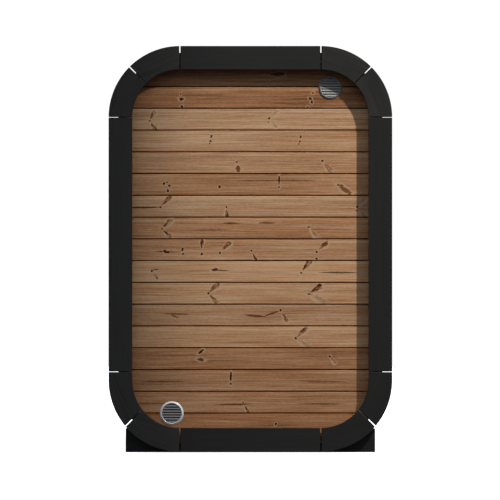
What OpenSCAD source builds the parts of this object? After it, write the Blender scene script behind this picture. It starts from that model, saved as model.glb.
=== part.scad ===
// Cube sauna: a room of wooden staves with rounded corners, on two cradles.
// Each end has a recessed wall of level boards inside a black trim of curved and straight boards.
// The origin is on the ground, under the middle. -Y is the rear end, which has the two vents,
// and +Y is the door end. Left is -X and right is +X, as seen from the rear.

/* [Overall size] */
// Width over the end trim
width = 1464; // [1440:2:1800]
// Height from the ground to the top of the end trim
height = 2100; // [2080:5:2300]
// Length over the trim of both ends
depth = 1650; // [1400:10:2600]
// Height of the lowest trim board above the ground
ground_gap = 6; // [4:1:20]

/* [End trim] */
// Outer radius of the trim's corners
corner_r = 368; // [350:2:380]
// Width of a trim board
trim_w = 122; // [115:1:130]
// Thickness of a trim board
trim_t = 28; // [20:1:34]
// Width of the eased edge along a trim board
trim_edge = 2; // [0.5:0.5:4]
// Open joint above, below and on the slant of each corner
trim_gap = 6; // [4:1:16]
// Open joint at each end of an upright trim board
upright_gap = 3; // [2:1:12]
// How far the lower corners run straight up before their joint
corner_lead = 44; // [10:2:80]

/* [Shell of staves] */
// How far the trim stands out above the roof, and below the shell
overhang = 42; // [30:1:50]
// How far the trim stands out past the side walls
side_overhang = 50; // [34:1:56]
// Outer radius of the shell's corners
shell_r = 320; // [300:2:330]
// Thickness of a stave
stave_t = 48; // [38:1:55]
// Staves in a side wall
side_staves = 12; // [8:1:16]
// Staves across the flat of the roof, and of the floor
flat_staves = 6; // [4:1:10]
// Staves round each corner
corner_staves = 6; // [4:1:10]
// Depth of the V groove between two boards
groove_d = 4; // [1:0.5:8]
// Half the width of that groove at the surface
groove_w = 3; // [1:0.5:6]
// Thickness of the weather sheet on the roof
cover_t = 8; // [2:1:10]
// Corner staves under the weather sheet, at each side
covered_staves = 2; // [1:1:3]

/* [End walls] */
// Thickness of an end wall
wall_t = 45; // [38:1:60]
// Depth from the face of the trim to the face of the wall
recess = 62; // [50:1:90]
// Visible height of one wall board
board_pitch = 112.7; // [90:0.1:140]
// Height of the lowest joint between wall boards
first_joint = 202; // [190:1:215]

/* [Vents] */
// Outer radius of a vent's rim
vent_r = 61.5; // [58:0.5:70]
// Radius of a vent's opening
vent_open_r = 49; // [45:0.5:52]
// Distance of the upper vent from the middle, to the right
upper_vent_x = 414; // [380:1:430]
// Height of the upper vent's centre
upper_vent_z = 1888; // [1860:1:1895]
// Distance of the lower vent from the middle, to the left
lower_vent_x = 407; // [380:1:430]
// Height of the lower vent's centre
lower_vent_z = 202; // [200:1:230]
// How far a vent's rim stands out
vent_rim_t = 9; // [6:0.5:12]
// Slats in a vent
vent_slats = 7; // [5:1:9]
// Distance from one slat to the next
slat_pitch = 13.4; // [11:0.1:15]
// Thickness of a slat
slat_t = 1.8; // [1:0.1:2.5]

/* [Door] */
// Width of the gap in the wall for the door
doorway_w = 700; // [640:10:760]
// Height of the top of that gap above the ground
doorway_top = 1900; // [1850:5:1930]
// Width of a member of the door frame
frame_w = 40; // [30:1:50]
// Thickness of the glass door
glass_t = 8; // [6:1:10]
// Length of the door handle
handle_l = 340; // [200:10:500]

/* [Floor and cradles] */
// Height of the floor bearers
bearer_h = 34; // [25:1:45]
// Thickness of the floor deck
deck_t = 22; // [18:1:28]
// Width of the floor deck
deck_w = 960; // [800:10:970]
// Boards across the floor deck
deck_boards = 8; // [5:1:10]
// Gap between two boards of the deck
deck_gap = 6; // [3:1:10]
// Width of a cradle
cradle_w = 1292; // [1240:2:1340]
// Height of a cradle at its ends
cradle_h = 120; // [100:2:160]
// Thickness of a cradle
cradle_t = 90; // [60:2:120]

/* [Hidden] */
$fn = 96;

trim_black = "#242424";
cradle_black = "#181818";
stave_brown = "#8a6544";
wall_brown = "#99704d";
deck_brown = "#a98360";
sheet_black = "#1d1f20";
steel = "#8b8d8f";
glass_bronze = "#6b5545";

// Centres of the trim's corner arcs
corner_x = width / 2 - corner_r;
corner_top = height - corner_r;
corner_low = ground_gap + corner_r;
trim_back = depth / 2 - trim_t;

// Outer and inner faces of the side walls, and centres of the shell's corners
shell_x = width / 2 - side_overhang;
room_x = shell_x - stave_t;
bend_x = shell_x - shell_r;
bend_top = height - overhang - shell_r;
bend_low = ground_gap + overhang + shell_r;
room_r = shell_r - stave_t;
room_floor = bend_low - room_r;
room_top = bend_top + room_r;

wall_face = depth / 2 - recess;
wall_back = wall_face - wall_t;
sleeve_r = vent_open_r + 1;
sleeve_t = 2;
hole_r = sleeve_r + 0.5;
flange_t = 4;

deck_z = room_floor + bearer_h;
deck_top = deck_z + deck_t;
frame_proud = 8;
frame_out = wall_face + frame_proud;
frame_in = wall_back - 6;
glass_in = wall_face - 11;
glass_out = glass_in + glass_t;
stop_w = 12;
glass_x = doorway_w / 2 - frame_w - 4;
glass_low = deck_top + 8;
glass_top = doorway_top - frame_w - 4;

// ---- helpers ----

function unit(v) = v / norm(v);

// An outline with a V groove at each of its points; inward[i] points into the board at point i
function grooved(p, inward) = [
    for (i = [0 : len(p) - 1]) each concat(
        i > 0 ? [p[i] + groove_w * unit(p[i - 1] - p[i])] : [],
        [p[i] + groove_d * inward[i]],
        i < len(p) - 1 ? [p[i] + groove_w * unit(p[i + 1] - p[i])] : [])
];

function reversed(p) = [for (i = [len(p) - 1 : -1 : 0]) p[i]];

// Equal steps from a to b
function steps(a, b, count) = [for (i = [0 : count]) a + (b - a) * i / count];

// Joints between corner staves, at radius r about one corner's centre
function corner_points(centre, r, start, count = corner_staves) = [
    for (i = [0 : count]) let (a = start + 90 * i / corner_staves) centre + r * [cos(a), sin(a)]
];

// The whole outline of the shell at radius r of its corners, stave by stave
function shell_outline(r) = concat(
    corner_points([bend_x, bend_top], r, 0),
    corner_points([-bend_x, bend_top], r, 90),
    corner_points([-bend_x, bend_low], r, 180),
    corner_points([bend_x, bend_low], r, 270));

// Carries a flat shape drawn as (x, z) from y = low to y = high
module along_y(low, high) {
    translate([0, high, 0]) rotate([90, 0, 0]) linear_extrude(high - low) children();
}

// Carries a flat shape drawn as (y, z) from x = low to x = high
module along_x(low, high) {
    translate([low, 0, 0]) rotate([90, 0, 90]) linear_extrude(high - low) children();
}

// Turns a rear piece round to the door end
module to_front() {
    mirror([0, 1, 0]) children();
}

module box(low, high) {
    translate(low) cube(high - low);
}

// ---- cradles ----

// A cross beam cut to the shape of the shell that lies in it
module cradle() {
    color(cradle_black) along_y(-wall_face, -wall_face + cradle_t) difference() {
        translate([-cradle_w / 2, 0]) square([cradle_w, cradle_h]);
        polygon(shell_outline(shell_r));
    }
}

// ---- shell ----

// A run of staves from end to end: outer holds their joints on the outside
module stave_panel(outer, inner, inward) {
    color(stave_brown) along_y(-trim_back, trim_back)
        polygon(concat(grooved(outer, inward), reversed(inner)));
}

// Staves of one side wall, on the right
module side_wall() {
    heights = steps(bend_low, bend_top, side_staves);
    stave_panel([for (z = heights) [shell_x, z]],
        [[room_x, bend_low], [room_x, bend_top]],
        [for (z = heights) [-1, 0]]);
}

// Staves of a flat panel: out is 1 for the roof and -1 for the floor
module flat_panel(out) {
    centre_z = out > 0 ? bend_top : bend_low;
    places = steps(-bend_x, bend_x, flat_staves);
    stave_panel([for (x = places) [x, centre_z + out * shell_r]],
        [[-bend_x, centre_z + out * room_r], [bend_x, centre_z + out * room_r]],
        [for (x = places) [0, -out]]);
}

// Staves of one corner, from angle start through a quarter turn
module corner_shell(centre, start) {
    outer = corner_points(centre, shell_r, start);
    stave_panel(outer, corner_points(centre, room_r, start), [for (p = outer) unit(centre - p)]);
}

// A weather sheet over the roof and the first staves of the upper corners
module roof_cover() {
    turn = 90 * covered_staves / corner_staves;
    right = [bend_x, bend_top];
    left = [-bend_x, bend_top];
    top_r = shell_r + cover_t;
    color(sheet_black) along_y(-trim_back, trim_back) polygon(concat(
        corner_points(right, top_r, 90 - turn, covered_staves),
        corner_points(left, top_r, 90, covered_staves),
        reversed(corner_points(left, shell_r, 90, covered_staves)),
        reversed(corner_points(right, shell_r, 90 - turn, covered_staves))));
}

// ---- floor ----

// Cross bearers with ends cut to the shell, so that they carry the whole width of the deck
module floor_bearers() {
    bearer_w = 45;
    count = 4;
    reach = -wall_back + 100;
    color(deck_brown) for (y = steps(reach, -reach, count - 1))
        along_y(y - bearer_w / 2, y + bearer_w / 2) intersection() {
            translate([-deck_w / 2, room_floor]) square([deck_w, bearer_h]);
            polygon(shell_outline(room_r));
        }
}

// Boards laid from end to end on the bearers, with gaps that let water through
module floor_deck() {
    clearance = 4;
    board_w = (deck_w + deck_gap) / deck_boards - deck_gap;
    color(deck_brown) for (i = [0 : deck_boards - 1])
        translate([-deck_w / 2 + i * (board_w + deck_gap), 0, 0])
            box([0, -wall_back + clearance, deck_z], [board_w, wall_back - clearance, deck_top]);
}

// ---- end walls ----

// Level boards with a groove at each joint, cut to the inside of the shell, at the rear end
module end_wall() {
    joints = [for (z = [first_joint : board_pitch : room_top - board_pitch / 2]) z];
    heights = concat([room_floor - groove_w], joints, [room_top + groove_w]);
    outer = [for (z = heights) [-wall_face, z]];
    inner = [for (z = heights) [-wall_back, z]];
    color(wall_brown) intersection() {
        along_x(-room_x, room_x) polygon(concat(
            grooved(outer, [for (z = heights) [1, 0]]),
            reversed(grooved(inner, [for (z = heights) [-1, 0]]))));
        along_y(-wall_face - 1, -wall_back + 1) polygon(shell_outline(room_r));
    }
}

module rear_wall() {
    difference() {
        end_wall();
        for (place = [[upper_vent_x, upper_vent_z], [-lower_vent_x, lower_vent_z]])
            translate([place[0], -wall_back + 1, place[1]]) rotate([90, 0, 0])
                cylinder(r = hole_r, h = wall_t + 2);
    }
}

// The part of the door end's wall that lies between two places across and above a height
module front_wall(low_x, high_x, low_z) {
    intersection() {
        to_front() end_wall();
        box([low_x, wall_back - 1, low_z], [high_x, wall_face + 1, room_top + 1]);
    }
}

// ---- vents ----

// A round rim with slanted slats across its opening, facing -Y from the wall's face
module vent_grille(x, z) {
    rim = [[vent_open_r, 0], [vent_r, 0], [vent_r, vent_rim_t * 0.4], [vent_r - 2, vent_rim_t * 0.8],
        [vent_r - 5, vent_rim_t], [vent_open_r + 4, vent_rim_t], [vent_open_r + 1, vent_rim_t * 0.75],
        [vent_open_r, vent_rim_t * 0.5]];
    slat_rise = 7;
    slat_run = vent_rim_t - 2;
    embed = 0.6;
    color(steel) translate([x, -wall_face, z]) {
        rotate([90, 0, 0]) rotate_extrude() polygon(rim);
        intersection() {
            rotate([90, 0, 0]) cylinder(r = vent_open_r + embed, h = vent_rim_t * 0.5);
            for (i = [0 : vent_slats - 1])
                translate([0, 0, (i - (vent_slats - 1) / 2) * slat_pitch]) along_x(-vent_r, vent_r)
                    polygon([[0, slat_rise / 2 - slat_t], [0, slat_rise / 2],
                        [-slat_run, -slat_rise / 2], [-slat_run, -slat_rise / 2 - slat_t]]);
        }
    }
}

// The tube through the wall behind a grille, with a flange on the room side
module vent_sleeve(x, z) {
    section = [[sleeve_r - sleeve_t, 0], [vent_r, 0], [vent_r, flange_t], [sleeve_r, flange_t],
        [sleeve_r, wall_t + flange_t], [sleeve_r - sleeve_t, wall_t + flange_t]];
    color(steel) translate([x, -wall_back + flange_t, z]) rotate([90, 0, 0])
        rotate_extrude() polygon(section);
}

// ---- door ----

// The sill under the door
module door_threshold() {
    color(wall_brown) box([-doorway_w / 2, wall_back, room_floor], [doorway_w / 2, wall_face, deck_top]);
}

// Section of a frame member: across runs from the wall into the doorway, then out of the wall
function frame_section() = [
    [0, frame_in], [0, frame_out], [frame_w, frame_out], [frame_w, glass_in - 1],
    [frame_w + stop_w, glass_in - 1], [frame_w + stop_w, frame_in]
];

module door_jamb() {
    translate([-doorway_w / 2, 0, deck_top]) linear_extrude(doorway_top - deck_top)
        polygon(frame_section());
}

module door_frame() {
    color(trim_black) {
        door_jamb();
        mirror([1, 0, 0]) door_jamb();
        along_x(-doorway_w / 2, doorway_w / 2)
            polygon([for (p = frame_section()) [p[1], doorway_top - p[0]]]);
    }
}

module door_glass() {
    color(glass_bronze) box([-glass_x, glass_in, glass_low], [glass_x, glass_out, glass_top]);
}

// A plate on the glass, a plate on the frame and the barrel between them, twice
module door_hinges() {
    hinge_h = 90;
    plate_t = 5;
    barrel_r = 7;
    pivot_x = -glass_x - 2;
    pivot_y = frame_out + plate_t / 2;
    color(steel) for (z = [glass_low + 220, glass_top - 220]) translate([0, 0, z - hinge_h / 2]) {
        box([-glass_x, glass_out, 0], [-glass_x + 55, glass_out + plate_t, hinge_h]);
        box([pivot_x, glass_out, 0], [-glass_x + 12, pivot_y, hinge_h]);
        box([pivot_x - 32, frame_out, 0], [pivot_x, frame_out + plate_t, hinge_h]);
        translate([pivot_x, pivot_y, 0]) cylinder(r = barrel_r, h = hinge_h);
    }
}

// A round bar on two stand-offs, once outside and once inside
module door_handle() {
    bar_r = 14;
    post_r = 8;
    reach = 42;
    handle_x = glass_x - 60;
    middle_z = 1050;
    color(deck_brown) for (side = [[glass_out, 1], [glass_in, -1]])
        translate([handle_x, side[0] + side[1] * reach, middle_z]) {
            translate([0, 0, -handle_l / 2]) cylinder(r = bar_r, h = handle_l);
            for (z = [-handle_l / 2 + 50, handle_l / 2 - 50])
                translate([0, 0, z]) rotate([side[1] * 90, 0, 0]) cylinder(r = post_r, h = reach);
        }
}

// ---- end trim ----

// A straight board along X, with eased front edges, its lower back edge at the origin
module trim_board(length) {
    along_x(0, length) polygon([[0, 0], [0, trim_w], [-trim_t + trim_edge, trim_w],
        [-trim_t, trim_w - trim_edge], [-trim_t, trim_edge], [-trim_t + trim_edge, 0]]);
}

module rear_trim_level(low_z) {
    half = corner_x - trim_gap / 2;
    color(trim_black) translate([-half, -trim_back, low_z]) trim_board(2 * half);
}

module rear_trim_upright() {
    low = corner_low + corner_lead + upright_gap / 2;
    high = corner_top - upright_gap / 2;
    color(trim_black) translate([width / 2, -trim_back, low]) rotate([0, -90, 0])
        trim_board(high - low);
}

// One corner, drawn as the top right one about its arc's centre: a quarter ring, with a straight
// stretch of the given lead at its upright end, and a slanted joint that makes it two boards
module rear_trim_corner(lead) {
    low_z = lead > 0 ? 0 : upright_gap / 2;
    color(trim_black) difference() {
        union() {
            intersection() {
                rotate([90, 0, 0]) rotate_extrude() translate([corner_r - trim_w, 0])
                    polygon([[0, 0], [trim_w, 0], [trim_w, trim_t - trim_edge],
                        [trim_w - trim_edge, trim_t], [trim_edge, trim_t], [0, trim_t - trim_edge]]);
                box([trim_gap / 2, -trim_t - 1, low_z], [corner_r + 1, 1, corner_r + 1]);
            }
            if (lead > 0) translate([corner_r, 0, -lead + upright_gap / 2]) rotate([0, -90, 0])
                trim_board(lead - upright_gap / 2);
        }
        translate([0, 0, -lead]) rotate([0, -45, 0])
            box([0, -trim_t - 1, -trim_gap / 2], [2 * corner_r, 1, trim_gap / 2]);
    }
}

module rear_trim_corner_top_right() {
    translate([corner_x, -trim_back, corner_top]) rear_trim_corner(0);
}

module rear_trim_corner_bottom_right() {
    translate([corner_x, -trim_back, corner_low]) mirror([0, 0, 1]) rear_trim_corner(corner_lead);
}

// ---- the sauna ----

cradle();  // cradle_rear
to_front() cradle();  // cradle_front
flat_panel(-1);  // bottom_shell
corner_shell([-bend_x, bend_low], 180);  // corner_shell_bottom_left
corner_shell([bend_x, bend_low], 270);  // corner_shell_bottom_right
mirror([1, 0, 0]) side_wall();  // side_wall_left
side_wall();  // side_wall_right
corner_shell([-bend_x, bend_top], 90);  // corner_shell_top_left
corner_shell([bend_x, bend_top], 0);  // corner_shell_top_right
flat_panel(1);  // roof
roof_cover();
floor_bearers();
floor_deck();
rear_wall();
vent_grille(upper_vent_x, upper_vent_z);  // upper_vent_grille
vent_sleeve(upper_vent_x, upper_vent_z);  // upper_vent_sleeve
vent_grille(-lower_vent_x, lower_vent_z);  // lower_vent_grille
vent_sleeve(-lower_vent_x, lower_vent_z);  // lower_vent_sleeve
front_wall(-room_x - 1, -doorway_w / 2, room_floor - 1);  // front_wall_left
front_wall(doorway_w / 2, room_x + 1, room_floor - 1);  // front_wall_right
front_wall(-doorway_w / 2, doorway_w / 2, doorway_top);  // front_wall_over_door
door_threshold();
door_frame();
door_glass();
door_hinges();
door_handle();
rear_trim_level(height - trim_w);  // rear_trim_top
rear_trim_level(ground_gap);  // rear_trim_bottom
mirror([1, 0, 0]) rear_trim_upright();  // rear_trim_left
rear_trim_upright();  // rear_trim_right
mirror([1, 0, 0]) rear_trim_corner_top_right();  // rear_trim_corner_top_left
rear_trim_corner_top_right();
mirror([1, 0, 0]) rear_trim_corner_bottom_right();  // rear_trim_corner_bottom_left
rear_trim_corner_bottom_right();
to_front() rear_trim_level(height - trim_w);  // front_trim_top
to_front() rear_trim_level(ground_gap);  // front_trim_bottom
to_front() mirror([1, 0, 0]) rear_trim_upright();  // front_trim_left
to_front() rear_trim_upright();  // front_trim_right
to_front() mirror([1, 0, 0]) rear_trim_corner_top_right();  // front_trim_corner_top_left
to_front() rear_trim_corner_top_right();  // front_trim_corner_top_right
to_front() mirror([1, 0, 0]) rear_trim_corner_bottom_right();  // front_trim_corner_bottom_left
to_front() rear_trim_corner_bottom_right();  // front_trim_corner_bottom_right
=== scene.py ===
"""Looks of the cube sauna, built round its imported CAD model.

All sizes are in metres, but for the knots and cracks, which are in millimetres.
"""
import math
import random

import bmesh
import bpy
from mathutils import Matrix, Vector


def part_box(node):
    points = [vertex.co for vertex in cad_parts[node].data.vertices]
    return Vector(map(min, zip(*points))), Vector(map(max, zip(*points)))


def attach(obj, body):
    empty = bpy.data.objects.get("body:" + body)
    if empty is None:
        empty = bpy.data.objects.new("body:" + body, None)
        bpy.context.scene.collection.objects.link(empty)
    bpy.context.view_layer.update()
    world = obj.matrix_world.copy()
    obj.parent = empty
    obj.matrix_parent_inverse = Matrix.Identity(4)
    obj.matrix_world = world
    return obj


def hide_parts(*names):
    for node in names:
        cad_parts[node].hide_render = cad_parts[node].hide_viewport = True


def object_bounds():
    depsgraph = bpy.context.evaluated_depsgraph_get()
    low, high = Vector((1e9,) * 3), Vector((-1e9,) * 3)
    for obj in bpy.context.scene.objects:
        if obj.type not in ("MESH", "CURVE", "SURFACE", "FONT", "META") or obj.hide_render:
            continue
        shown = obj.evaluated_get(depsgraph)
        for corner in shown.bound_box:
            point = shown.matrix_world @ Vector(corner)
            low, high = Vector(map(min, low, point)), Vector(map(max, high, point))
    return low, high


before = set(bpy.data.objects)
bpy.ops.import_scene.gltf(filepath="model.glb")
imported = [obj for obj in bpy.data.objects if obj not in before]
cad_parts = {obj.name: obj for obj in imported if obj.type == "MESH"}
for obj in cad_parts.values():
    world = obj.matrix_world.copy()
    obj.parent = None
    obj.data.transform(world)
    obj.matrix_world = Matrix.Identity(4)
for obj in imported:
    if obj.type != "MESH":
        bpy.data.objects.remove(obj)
cad_low, cad_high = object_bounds()

BODY = "root"
UP, RIGHT, BACK = Vector((0, 0, 1)), Vector((1, 0, 0)), Vector((0, 1, 0))


# ---- sizes from the frame

def span(node, axis):
    """Lowest and highest place of a CAD node along an axis, 0 for x, 1 for y and 2 for z."""
    low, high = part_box(node)
    return low[axis], high[axis]


def spans(node):
    return [span(node, axis) for axis in range(3)]


def middle(node):
    return sum(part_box(node), Vector()) / 2


CORNER_X = span("roof", 0)[1]
CORNER_LOW, CORNER_TOP = span("side_wall_right", 2)
ROOM_TOP, SHELL_TOP = span("roof", 2)
SHELL_R, ROOM_R = SHELL_TOP - CORNER_TOP, ROOM_TOP - CORNER_TOP
ROOM_X = CORNER_X + ROOM_R
ROOM_FLOOR = span("bottom_shell", 2)[1]
SHELL_END = span("roof", 1)[1]
SHELL_MIDDLE = Vector((0, 0, (CORNER_LOW + CORNER_TOP) / 2))

TRIM_LOW, TRIM_HIGH = span("rear_trim_bottom", 2)[0], span("rear_trim_top", 2)[1]
TRIM_W = TRIM_HIGH - span("rear_trim_top", 2)[0]
TRIM_T = span("rear_trim_top", 1)[1] - span("rear_trim_top", 1)[0]
TOP_JOINT = span("rear_trim_top", 0)[1], span("rear_trim_corner_top_right", 0)[0]
UPPER_JOINT = span("rear_trim_right", 2)[1], span("rear_trim_corner_top_right", 2)[0]
LOWER_JOINT = span("rear_trim_corner_bottom_right", 2)[1], span("rear_trim_right", 2)[0]
TRIM_GAP, UPRIGHT_GAP = TOP_JOINT[1] - TOP_JOINT[0], UPPER_JOINT[1] - UPPER_JOINT[0]
BEND_X, BEND_TOP = sum(TOP_JOINT) / 2, sum(UPPER_JOINT) / 2
TRIM_R = TRIM_HIGH - BEND_TOP
BEND_LOW = TRIM_LOW + TRIM_R
CORNER_LEAD = sum(LOWER_JOINT) / 2 - BEND_LOW

WALL_FACE, WALL_BACK = -span("rear_wall", 1)[0], -span("rear_wall", 1)[1]

# Counts and small sizes that the frame doesn't give.
SIDE_STAVES, FLAT_STAVES, CORNER_STAVES = 12, 6, 6
BEARERS, BEARER_W, DECK_BOARDS, DECK_GAP = 4, 0.045, 8, 0.006
FRAME_PLAY, STOP_W, HANDLE_POST_IN = 0.004, 0.012, 0.050
HINGE_H, HINGE_LEAF, PLATE_T, KNUCKLE_R = 0.090, 0.032, 0.005, 0.007
FIRST_JOINT, BOARD_PITCH = 0.202, 0.1127
WALL_JOINTS = [FIRST_JOINT + BOARD_PITCH * k for k in range(16)]
VENT_OPEN_R, VENT_HOLE_R, VENT_SLATS, SLAT_PITCH = 0.049, 0.0505, 7, 0.0134
# Heights within SLACK are equal, tongues lie deeper than TONGUE_DEPTH, an eased end is drawn in by
# INSET for its length, and NO_MARK stands for a knot far away.
SLACK, TONGUE_DEPTH, INSET, NO_MARK = 0.0001, 0.0045, 0.8, (9.0, 9.0, 0.0)


def shell_run(r, stop, axis):
    """The lower right staves' faces, from where x (axis 0) or z (axis 1) is at stop down to the lowest."""
    turns = [math.pi / 2 / CORNER_STAVES * i for i in range(CORNER_STAVES + 1)]
    points = [(CORNER_X + r * math.sin(a), CORNER_LOW - r * math.cos(a)) for a in turns]
    run = [points[0]]
    for one, two in zip(points, points[1:]):
        if two[axis] >= stop:
            share = (stop - one[axis]) / (two[axis] - one[axis])
            run.append(tuple(a + (b - a) * share for a, b in zip(one, two)))
            break
        run.append(two)
    return run[::-1]


def room_half_width(z):
    """Half the width of the room at a height, stave by stave round the corners."""
    rise = max(z - CORNER_TOP, CORNER_LOW - z)
    return ROOM_X if rise <= 0 else shell_run(ROOM_R, CORNER_LOW - rise, 1)[0][0]


# ---- meshes

def new_object(name, data):
    made = bpy.data.objects.new(name, data)
    bpy.context.scene.collection.objects.link(made)
    return made


def tube(rings, joined=False):
    """The points of rings and the faces between them, closed by a cap at each end or by going round."""
    count, last = len(rings[0]), len(rings) - 1
    faces = []
    for i in range(last + 1 if joined else last):
        one, two = i * count, (i + 1) % (last + 1) * count
        faces += [[one + j, one + (j + 1) % count, two + (j + 1) % count, two + j] for j in range(count)]
    if not joined:
        faces += [list(range(count))[::-1], [last * count + j for j in range(count)]]
    return [p for ring in rings for p in ring], faces


class Tubes:
    """Collects closed tubes of rings of points, and makes one piece of them."""

    smooth_angle = 30

    def __init__(self):
        self.points, self.faces = [], []

    def take(self, places, faces):
        first = len(self.points)
        self.points += places
        self.faces += [[first + i for i in f] for f in faces]

    def add(self, rings, joined=False):
        self.take(*tube(rings, joined))

    def prepare(self, mesh):
        """Turns the faces outwards."""
        clean = bmesh.new()
        clean.from_mesh(mesh)
        bmesh.ops.recalc_face_normals(clean, faces=clean.faces)
        clean.to_mesh(mesh)
        clean.free()

    def make(self, name, material, slot, node):
        """Makes the piece, which rides on the sauna and stands for a CAD node."""
        mesh = bpy.data.meshes.new(name)
        mesh.from_pydata(self.points, [], self.faces)
        self.prepare(mesh)
        mesh.shade_smooth()
        mesh.set_sharp_from_angle(angle=math.radians(self.smooth_angle))
        mesh.materials.append(material)
        piece = new_object(name, mesh)
        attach(piece, BODY)
        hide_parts(node)
        return piece


class Boards(Tubes):
    """Collects boards, each a closed tube, with four attributes that the materials read.

    grain is the place in the board, with its x along the grain and a shift of its own for each
    board. tone is the board's lightness, its redness, and the place across it, from 0 to 1, and
    above 1 on a tongue. knot and more_knot are the place relative to each of the two nearest
    knots or cracks, in half lengths and half widths of it, and what Mark calls dark.
    """

    smooth_angle = 18

    def __init__(self, seed, tongued=False):
        super().__init__()
        self.random = random.Random(seed)
        self.tongued = tongued
        self.layers = {"grain": [], "tone": [], "knot": [], "more_knot": []}

    def random_tone(self):
        return self.random.uniform(-0.2, 0.2)

    def random_marks(self, start, end, width):
        """Knots and cracks scattered along a board that lies on its lower edge."""
        marks, place = [], start + self.random.uniform(0.05, 0.4)
        while place < end - 0.05:
            kind = self.random.choice("..::'!;#oil|//\\\\``,<>[{{((vwec-=+t~ysss")
            marks += knot_marks(self.random, kind, place, width * self.random.uniform(0.4, 0.6))
            place += self.random.uniform(0.25, 0.85)
        return marks

    def add(self, rings, axes, tone=0.0, marks=()):
        """Adds a board through rings of points. axes run along it, across it and out of its face."""
        places, faces = tube(rings)
        volume = sum(places[f[0]].dot(places[f[k]].cross(places[f[k + 1]]))
                     for f in faces for k in range(1, len(f) - 1))
        if volume < 0:
            faces = [f[::-1] for f in faces]
        self.take(places, faces)
        shift = Vector([self.random.uniform(-50, 50) for _ in range(3)])
        local = [Vector([p.dot(axis) for axis in axes]) for p in places]
        front = max(p.z for p in local) - TONGUE_DEPTH if self.tongued else -math.inf
        low, high = (end(p.y for p in local if p.z > front) for end in (min, max))
        redness = self.random.uniform(-1, 1)
        for f in faces:
            self.layers["grain"] += [local[i] + shift for i in f]
            self.layers["tone"] += [(tone, redness, (local[i].y - low) / (high - low)) for i in f]
            centre = sum((local[i] for i in f), Vector()) / len(f)
            near = [m for m in marks if abs(centre.x - m.along) < m.reach()]
            near.sort(key=lambda m: math.hypot(*m.seen_from(centre)[:2]))
            for layer, mark in zip(("knot", "more_knot"), [*near[:2], None, None]):
                self.layers[layer] += [mark.seen_from(local[i]) if mark else NO_MARK for i in f]

    def prepare(self, mesh):
        for attribute, values in self.layers.items():
            layer = mesh.attributes.new(attribute, "FLOAT_VECTOR", "CORNER")
            layer.data.foreach_set("vector", [x for value in values for x in value])
        mesh.validate()


class Mark:
    """A knot or crack on a board's face, at a place along and across the board.

    dark is from 0 to 1 for a round knot, 1 more than that for a branch that is cut lengthwise,
    which widens from its thin end along its lean, and below 0 for a crack.
    """

    def __init__(self, along, across, lean, length, width, dark):
        self.along, self.across, self.lean = along, across, math.radians(lean)
        self.half_length, self.half_width, self.dark = length / 2, width / 2, dark

    def seen_from(self, p):
        du, dv = p.x - self.along, p.y - self.across
        c, s = math.cos(self.lean), math.sin(self.lean)
        return ((du * c + dv * s) / self.half_length, (dv * c - du * s) / self.half_width, self.dark)

    def reach(self):
        """How far along the board the mark and its pale surround go from its middle."""
        spread = 1.1 if self.dark < 0 else 2.1
        return spread * max(self.half_length * abs(math.cos(self.lean)), self.half_width)


def joined_profile(width, thick, edge=0.0026, gap=0.0054, tongue=True, groove=True, rows=8):
    """Section of a board with a tongue above, a groove below and its face at 0, as (across, out)."""
    low, high = gap / 2, width - gap / 2
    reach, t0, t1, play = 0.008, -thick * 0.40, -thick * 0.56, 0.0006
    steps = [low + edge + (high - low - 2 * edge) * k / rows for k in range(1, rows)]
    points = [(low, -edge), (low + edge * 0.3, -edge * 0.3), (low + edge, 0), *((v, 0) for v in steps)]
    points += [(high - edge, 0), (high - edge * 0.3, -edge * 0.3), (high, -edge)]
    if tongue:
        points += [(high, t0), (high + reach, t0), (high + reach, t1), (high, t1)]
    points += [(high, -thick + edge), (high - edge, -thick), *((v, -thick) for v in steps[::-1])]
    points += [(low + edge, -thick), (low, -thick + edge)]
    if groove:
        points += [(low, t1 - play), (low + reach + play, t1 - play),
                   (low + reach + play, t0 + play), (low, t0 + play)]
    return points


def eased(outline, by):
    """The outline with each corner rounded off, starting a distance before it."""
    corners = [Vector(p) for p in outline]
    points = []
    for before, here, after in zip(corners[-1:] + corners, corners, corners[1:] + corners[:1]):
        start, end = (here + (other - here).normalized() * by for other in (before, after))
        points += [tuple(start), tuple(start * 0.25 + here * 0.5 + end * 0.25), tuple(end)]
    return points


def plain_profile(width, thick, edge):
    """Section of a board with four eased edges, from 0 to width across and from -thick to 0."""
    return eased([(0, 0), (width, 0), (width, -thick), (0, -thick)], edge)


def drawn_in(outline, by):
    """The outline moved inwards all round, for the eased end of a piece."""
    points = [Vector(p) for p in outline]
    count = len(points)
    turn = math.copysign(1, sum(points[i - 1].cross(points[i]) for i in range(count)))
    moved = []
    for i in range(count):
        one, two = points[i] - points[i - 1], points[(i + 1) % count] - points[i]
        normals = [Vector((-edge.y, edge.x)).normalized() * turn for edge in (one, two)]
        both = normals[0] + normals[1]
        moved.append(tuple(points[i] + both * by / max(0.2, 1 + normals[0].dot(normals[1]))))
    return moved


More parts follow.
